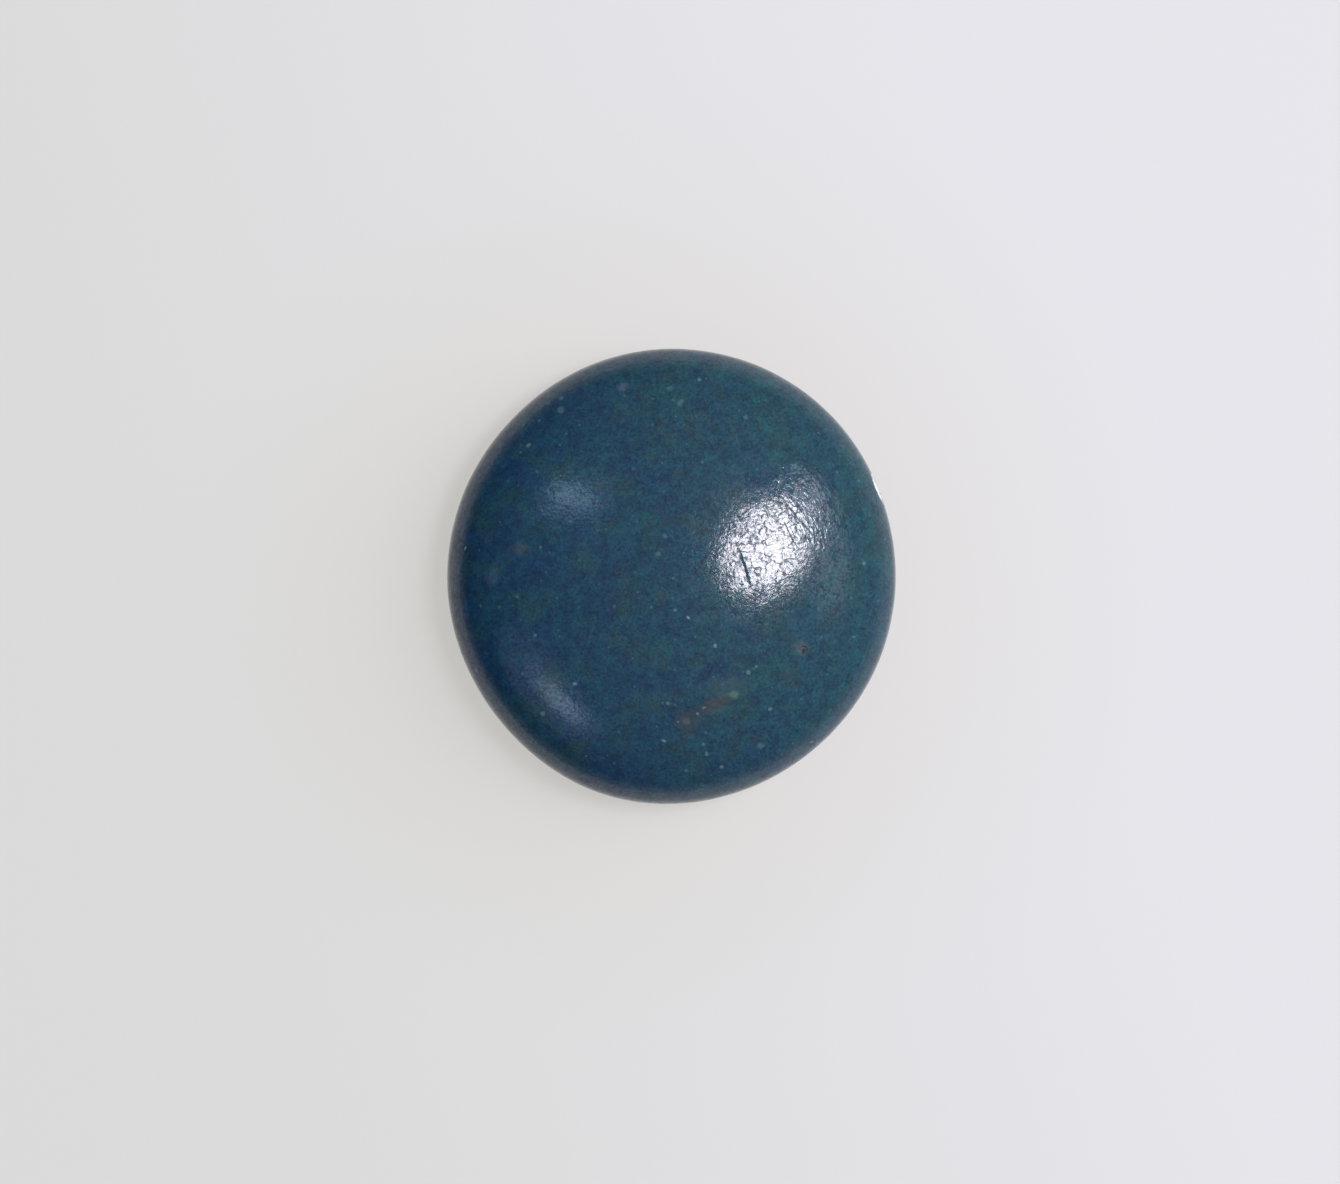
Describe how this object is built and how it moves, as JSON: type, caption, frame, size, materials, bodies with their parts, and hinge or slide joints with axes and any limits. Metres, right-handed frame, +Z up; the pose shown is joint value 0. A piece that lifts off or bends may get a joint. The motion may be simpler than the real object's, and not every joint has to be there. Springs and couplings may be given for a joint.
{
  "type": "polished stone",
  "caption": "Round polished stone with a low dome, a rounded edge and a flat base to rest on.",
  "frame": {"origin": "centre of the stone's outline, on the plane of its flat base", "axes": "+Z up through the top of the dome; +Y within 15 degrees of the outline's long axis; +X to the side with the edge chip"},
  "size_m": [0.018, 0.0182, 0.005],
  "materials": {
    "stone": "hand polished, finely pitted, semi-gloss"
  },
  "bodies": {
    "root": {"stone": "stone"}
  },
  "joints": []
}
